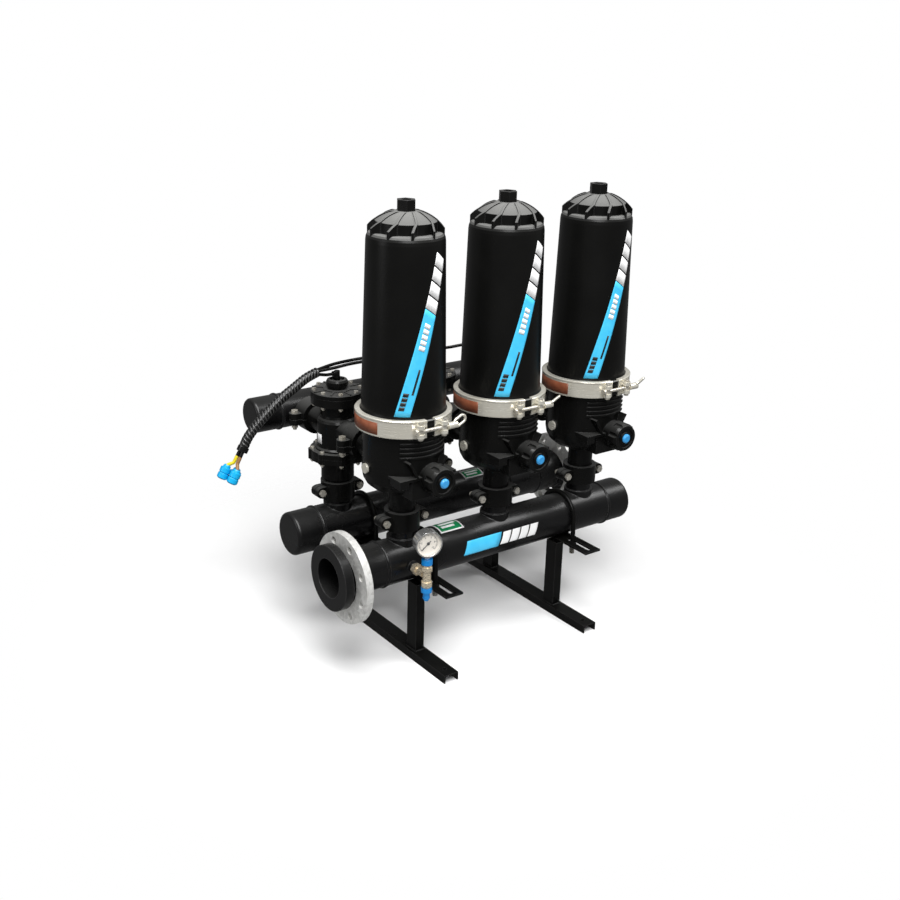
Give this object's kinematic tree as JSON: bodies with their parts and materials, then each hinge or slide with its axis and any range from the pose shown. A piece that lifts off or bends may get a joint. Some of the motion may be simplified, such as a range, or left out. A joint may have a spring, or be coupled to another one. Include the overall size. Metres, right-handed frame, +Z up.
{
  "type": "irrigation disc filter battery",
  "caption": "Self-cleaning disc filters in a row on a steel frame, with flanged inlet and outlet manifolds, three-way back-flush valves, a drain manifold and a pressure gauge.",
  "frame": {"origin": "middle of the box round the battery, on the floor, without the free tube bundle", "axes": "+X along the manifolds from the outlet flange to the inlet flange, -Y to the front where the filters stand, +Z up"},
  "size_m": [1.0848, 0.688, 1.104],
  "materials": {
    "pipe": "satin",
    "galvanised": "dull zinc",
    "body_plastic": "gloss",
    "knob_plastic": "gloss",
    "inner_plastic": "matt",
    "disc_plastic": "matt",
    "rubber": "matt",
    "stainless": "bright",
    "zinc": "zinc plated",
    "spindle_plastic": "matt",
    "blue_plastic": "gloss",
    "black_paint": "satin",
    "gauge_chrome": "polished",
    "dial_white": "matt",
    "needle_black": "matt",
    "clear": "clear",
    "brass": "machined",
    "tube_black": "satin"
  },
  "bodies": {
    "battery": {"outlet_manifold": "pipe", "inlet_manifold": "pipe", "drain_manifold": "pipe", "manifold_caps": "pipe", "stub_flanges": "pipe", "backing_rings": "galvanised", "filter_bases": "body_plastic", "filter_lids": "body_plastic", "lid_plugs": "body_plastic", "valve_bottoms": "body_plastic", "valve_bodies": "body_plastic", "valve_covers": "body_plastic", "valve_rings": "body_plastic", "outlet_couplings": "body_plastic", "inlet_couplings": "body_plastic", "filter_couplings": "body_plastic", "drain_couplings": "body_plastic", "disc_spines": "inner_plastic", "lid_seals": "rubber", "valve_diaphragms": "rubber", "coupling_gaskets": "rubber", "clamp_bands": "stainless", "side_plugs": "stainless", "clamp_bolts": "zinc", "valve_bolts": "zinc", "coupling_bolts": "zinc", "gauge_fittings": "blue_plastic", "hose_connectors": "blue_plastic", "feet": "black_paint", "posts": "black_paint", "crossbars": "black_paint", "u_bolts": "black_paint", "gauge_case": "gauge_chrome", "gauge_dial": "dial_white", "gauge_glass": "clear", "gauge_nipple": "brass", "gauge_tee": "brass", "control_bundle": "tube_black", "command_tubes": "tube_black", "hose_tie": "tube_black", "tube_elbows": "tube_black"},
    "clamp_nut_1": {"clamp_nut_1": "stainless"},
    "front_cap_1": {"port_cap_1": "knob_plastic", "cap_plug_1": "blue_plastic"},
    "disc_stack_1": {"disc_stack_1": "disc_plastic"},
    "disc_piston_1": {"disc_piston_1": "inner_plastic"},
    "valve_spindle_1": {"valve_spindle_1": "spindle_plastic"},
    "clamp_nut_2": {"clamp_nut_2": "stainless"},
    "front_cap_2": {"port_cap_2": "knob_plastic", "cap_plug_2": "blue_plastic"},
    "disc_stack_2": {"disc_stack_2": "disc_plastic"},
    "disc_piston_2": {"disc_piston_2": "inner_plastic"},
    "valve_spindle_2": {"valve_spindle_2": "spindle_plastic"},
    "clamp_nut_3": {"clamp_nut_3": "stainless"},
    "front_cap_3": {"port_cap_3": "knob_plastic", "cap_plug_3": "blue_plastic"},
    "disc_stack_3": {"disc_stack_3": "disc_plastic"},
    "disc_piston_3": {"disc_piston_3": "inner_plastic"},
    "valve_spindle_3": {"valve_spindle_3": "spindle_plastic"},
    "gauge_needle": {"gauge_needle": "needle_black"}
  },
  "joints": [
    {"name": "clamp_nut_turn_1", "type": "hinge", "parent": "battery", "child": "clamp_nut_1", "pos_m": [-0.229, -0.2745, 0.615], "axis": [1, 0, 0], "continuous": true},
    {"name": "front_cap_turn_1", "type": "hinge", "parent": "battery", "child": "front_cap_1", "pos_m": [-0.256, -0.285, 0.492], "axis": [0, -1, 0], "range_deg": [0, 360]},
    {"name": "disc_spin_1", "type": "hinge", "parent": "battery", "child": "disc_stack_1", "pos_m": [-0.271, -0.158, 0.724], "axis": [0, 0, 1], "continuous": true},
    {"name": "piston_lift_1", "type": "slide", "parent": "battery", "child": "disc_piston_1", "axis": [0, 0, 1], "range_m": [0, 0.012]},
    {"name": "spindle_lift_1", "type": "slide", "parent": "battery", "child": "valve_spindle_1", "axis": [0, 0, 1], "range_m": [0, 0.02]},
    {"name": "clamp_nut_turn_2", "type": "hinge", "parent": "battery", "child": "clamp_nut_2", "pos_m": [0.051, -0.2745, 0.615], "axis": [1, 0, 0], "continuous": true},
    {"name": "front_cap_turn_2", "type": "hinge", "parent": "battery", "child": "front_cap_2", "pos_m": [0.024, -0.285, 0.492], "axis": [0, -1, 0], "range_deg": [0, 360]},
    {"name": "disc_spin_2", "type": "hinge", "parent": "battery", "child": "disc_stack_2", "pos_m": [0.009, -0.158, 0.724], "axis": [0, 0, 1], "continuous": true},
    {"name": "piston_lift_2", "type": "slide", "parent": "battery", "child": "disc_piston_2", "axis": [0, 0, 1], "range_m": [0, 0.012]},
    {"name": "spindle_lift_2", "type": "slide", "parent": "battery", "child": "valve_spindle_2", "axis": [0, 0, 1], "range_m": [0, 0.02]},
    {"name": "clamp_nut_turn_3", "type": "hinge", "parent": "battery", "child": "clamp_nut_3", "pos_m": [0.331, -0.2745, 0.615], "axis": [1, 0, 0], "continuous": true},
    {"name": "front_cap_turn_3", "type": "hinge", "parent": "battery", "child": "front_cap_3", "pos_m": [0.304, -0.285, 0.492], "axis": [0, -1, 0], "range_deg": [0, 360]},
    {"name": "disc_spin_3", "type": "hinge", "parent": "battery", "child": "disc_stack_3", "pos_m": [0.289, -0.158, 0.724], "axis": [0, 0, 1], "continuous": true},
    {"name": "piston_lift_3", "type": "slide", "parent": "battery", "child": "disc_piston_3", "axis": [0, 0, 1], "range_m": [0, 0.012]},
    {"name": "spindle_lift_3", "type": "slide", "parent": "battery", "child": "valve_spindle_3", "axis": [0, 0, 1], "range_m": [0, 0.02]},
    {"name": "needle_turn", "type": "hinge", "parent": "battery", "child": "gauge_needle", "pos_m": [-0.275, -0.27, 0.338], "axis": [0.2588, 0.9659, 0], "range_deg": [0, 270]}
  ]
}
